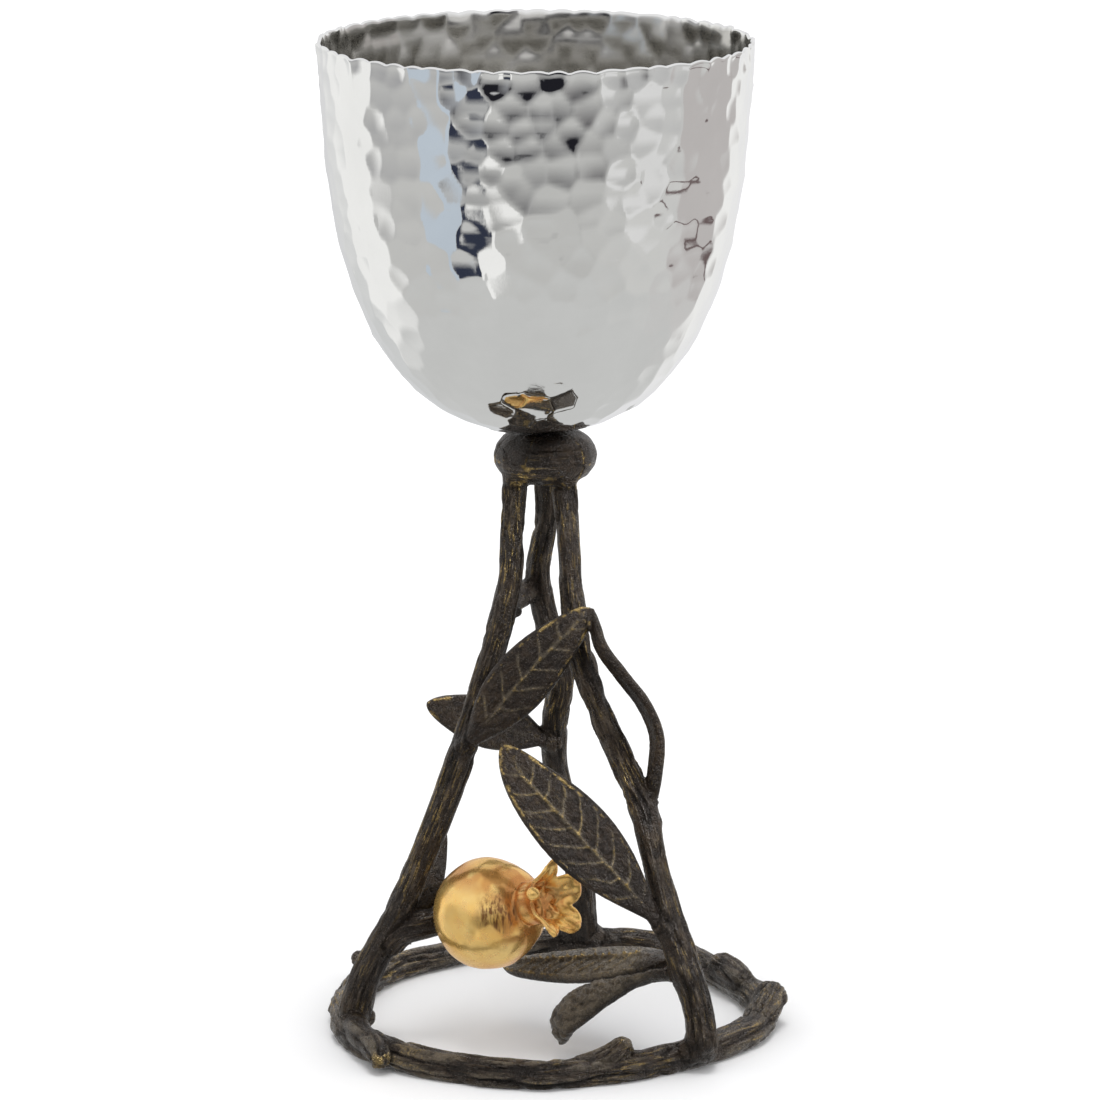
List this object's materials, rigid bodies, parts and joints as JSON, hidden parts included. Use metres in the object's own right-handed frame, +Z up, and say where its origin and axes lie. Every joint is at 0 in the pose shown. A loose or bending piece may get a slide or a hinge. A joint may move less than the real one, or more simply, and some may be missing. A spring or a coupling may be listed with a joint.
{
  "type": "kiddush cup",
  "caption": "Ceremonial wine cup: a hammered steel bowl on a cast bronze stand of branches and leaves, with a gilded pomegranate.",
  "frame": {"origin": "middle of the footprint, on the surface that the cup stands on", "axes": "+Z up through the bowl; -Y is the front, with the pomegranate and the two broad leaves; +X is to the right seen from the front"},
  "size_m": [0.0885, 0.0841, 0.19],
  "materials": {
    "steel": "hammered, mirror polished outside, satin inside",
    "bronze": "cast, dark patina rubbed to gold on the ridges",
    "gilt": "polished gold-coloured plating with faint brush marks"
  },
  "bodies": {
    "root": {"branch_stand": "bronze", "bowl": "steel", "pomegranate": "gilt"}
  },
  "joints": []
}
